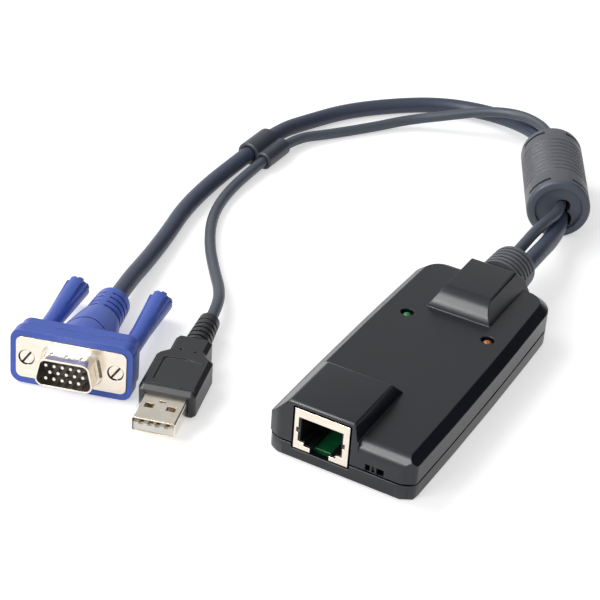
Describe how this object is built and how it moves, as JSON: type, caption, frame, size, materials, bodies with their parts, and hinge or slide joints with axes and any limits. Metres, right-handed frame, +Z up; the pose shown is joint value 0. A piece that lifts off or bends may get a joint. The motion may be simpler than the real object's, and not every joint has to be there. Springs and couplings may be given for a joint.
{
  "type": "kvm dongle",
  "caption": "Flat module with a network jack, and a video lead and a data lead from one ribbed gland, through a ferrite core, to their plugs.",
  "frame": {"origin": "middle of the housing's footprint, on the surface that the housing rests on", "axes": "+X across the housing, to the right seen from the jack's end; +Y along the housing, from the jack to the gland; +Z up"},
  "size_m": [0.1303, 0.2264, 0.0201],
  "materials": {
    "housing": "satin",
    "screw_steel": "satin",
    "circuit_board": "satin",
    "chip": "matte",
    "nickel": "satin",
    "black_insulator": "matte",
    "gold": "polished",
    "green_light": "gloss",
    "amber_light": "gloss",
    "white_insulator": "satin",
    "gland_rubber": "matte",
    "video_jacket": "matte",
    "data_jacket": "matte",
    "ferrite": "matte",
    "core_plastic": "satin",
    "clip_plastic": "matte",
    "blue_plastic": "satin",
    "mould_plastic": "satin"
  },
  "bodies": {
    "module": {"top_cover": "housing", "bottom_cover": "housing", "cover_screws": "screw_steel", "main_board": "circuit_board", "board_chips": "chip", "jack_shield": "nickel", "jack_body": "black_insulator", "jack_contacts": "gold", "link_light": "green_light", "power_light": "amber_light", "switch_body": "black_insulator", "video_header": "white_insulator", "data_header": "white_insulator", "inner_video_lead": "video_jacket", "inner_data_lead": "data_jacket", "cable_gland": "gland_rubber", "video_lead": "video_jacket", "data_lead": "data_jacket", "ferrite_core": "ferrite", "core_jacket": "core_plastic", "lead_clip": "clip_plastic", "video_hood": "blue_plastic", "video_shell": "nickel", "video_insulator": "black_insulator", "video_pins": "nickel", "data_overmould": "mould_plastic", "data_shell": "nickel", "data_insulator": "white_insulator", "data_contacts": "gold"},
    "switch_lever": {"switch_lever": "black_insulator"},
    "thumbscrew_left": {"thumbscrew_left": "blue_plastic"},
    "thumbscrew_right": {"thumbscrew_right": "blue_plastic"}
  },
  "joints": [
    {"name": "switch_slide", "type": "slide", "parent": "module", "child": "switch_lever", "axis": [1, 0, 0], "range_m": [0, 0.002]},
    {"name": "left_screw_turn", "type": "hinge", "parent": "module", "child": "thumbscrew_left", "pos_m": [-0.09535, -0.03941, 0.00718], "axis": [0.286, -0.955, 0.0785], "continuous": true},
    {"name": "right_screw_turn", "type": "hinge", "parent": "module", "child": "thumbscrew_right", "pos_m": [-0.0714, -0.03224, 0.00718], "axis": [0.286, -0.955, 0.0785], "continuous": true}
  ]
}
